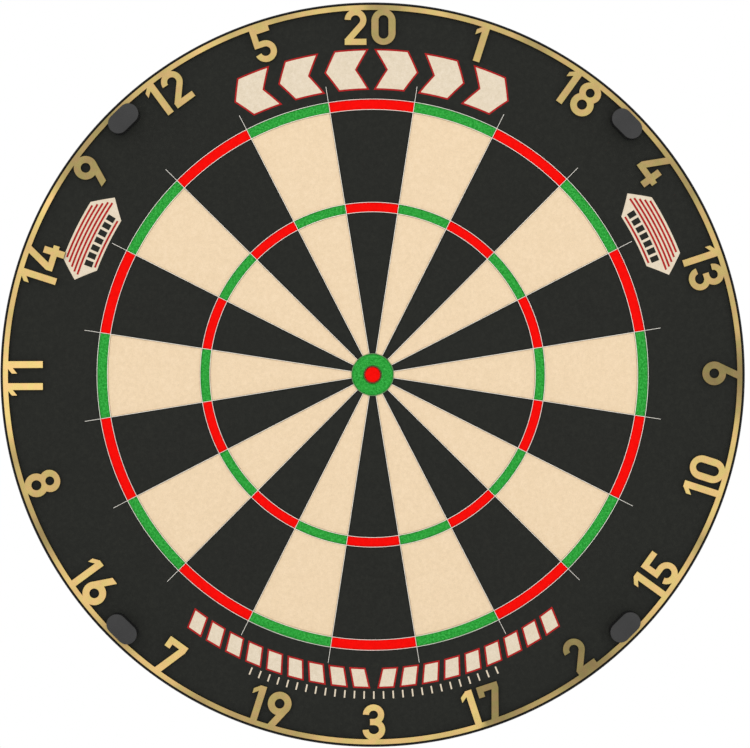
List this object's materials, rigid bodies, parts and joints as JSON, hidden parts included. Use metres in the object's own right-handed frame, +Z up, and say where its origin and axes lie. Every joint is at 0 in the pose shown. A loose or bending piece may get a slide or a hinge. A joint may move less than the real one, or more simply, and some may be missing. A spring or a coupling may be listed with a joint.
{
  "type": "bristle dartboard",
  "caption": "Round bristle dartboard with thin blade wires, a turnable gold number ring held by magnetic keepers, and a wall bracket.",
  "frame": {"origin": "on the board's axis, on the back face of the wall bracket, where it meets the wall", "axes": "+Y along the board's axis into the wall, so the playing face looks along -Y; +Z up; +X to a player's right"},
  "size_m": [0.455, 0.0605, 0.455],
  "materials": {
    "chipboard": "matte",
    "sisal": "matte",
    "hoop": "satin",
    "blades": "satin",
    "number_ring": "satin",
    "keeper_caps": "matte",
    "magnets": "gloss",
    "fasteners": "satin",
    "bracket": "satin",
    "feet": "matte"
  },
  "bodies": {
    "wall": {"wall_bracket": "bracket"},
    "hanger": {"hanging_screw": "fasteners"},
    "board": {"backboard": "chipboard", "sisal_disc": "sisal", "steel_hoop": "hoop", "hanging_washer": "fasteners", "anchor_disc_1": "fasteners", "anchor_disc_2": "fasteners", "anchor_disc_3": "fasteners", "anchor_disc_4": "fasteners", "double_outer_ring": "blades", "double_inner_ring": "blades", "treble_outer_ring": "blades", "treble_inner_ring": "blades", "outer_bull_ring": "blades", "inner_bull_ring": "blades", "radial_blade_01": "blades", "radial_blade_02": "blades", "radial_blade_03": "blades", "radial_blade_04": "blades", "radial_blade_05": "blades", "radial_blade_06": "blades", "radial_blade_07": "blades", "radial_blade_08": "blades", "radial_blade_09": "blades", "radial_blade_10": "blades", "radial_blade_11": "blades", "radial_blade_12": "blades", "radial_blade_13": "blades", "radial_blade_14": "blades", "radial_blade_15": "blades", "radial_blade_16": "blades", "radial_blade_17": "blades", "radial_blade_18": "blades", "radial_blade_19": "blades", "radial_blade_20": "blades", "wall_foot_1": "feet", "wall_foot_2": "feet", "wall_foot_3": "feet", "foot_screw_1": "fasteners", "foot_screw_2": "fasteners", "foot_screw_3": "fasteners"},
    "ring": {"number_ring": "number_ring"},
    "keeper_1": {"keeper_cap_1": "keeper_caps", "keeper_magnet_1": "magnets"},
    "keeper_2": {"keeper_cap_2": "keeper_caps", "keeper_magnet_2": "magnets"},
    "keeper_3": {"keeper_cap_3": "keeper_caps", "keeper_magnet_3": "magnets"},
    "keeper_4": {"keeper_cap_4": "keeper_caps", "keeper_magnet_4": "magnets"}
  },
  "joints": [
    {"name": "hanger_lift", "type": "slide", "parent": "wall", "child": "hanger", "axis": [0, 0, 1], "range_m": [0, 0.03]},
    {"name": "board_turn", "type": "hinge", "parent": "hanger", "child": "board", "pos_m": [0, 0, 0], "axis": [0, -1, 0], "continuous": true},
    {"name": "ring_turn", "type": "hinge", "parent": "board", "child": "ring", "pos_m": [0, 0, 0], "axis": [0, -1, 0], "continuous": true},
    {"name": "keeper_1_pull", "type": "slide", "parent": "ring", "child": "keeper_1", "axis": [0, -1, 0], "range_m": [0, 0.025]},
    {"name": "keeper_2_pull", "type": "slide", "parent": "ring", "child": "keeper_2", "axis": [0, -1, 0], "range_m": [0, 0.025]},
    {"name": "keeper_3_pull", "type": "slide", "parent": "ring", "child": "keeper_3", "axis": [0, -1, 0], "range_m": [0, 0.025]},
    {"name": "keeper_4_pull", "type": "slide", "parent": "ring", "child": "keeper_4", "axis": [0, -1, 0], "range_m": [0, 0.025]}
  ]
}
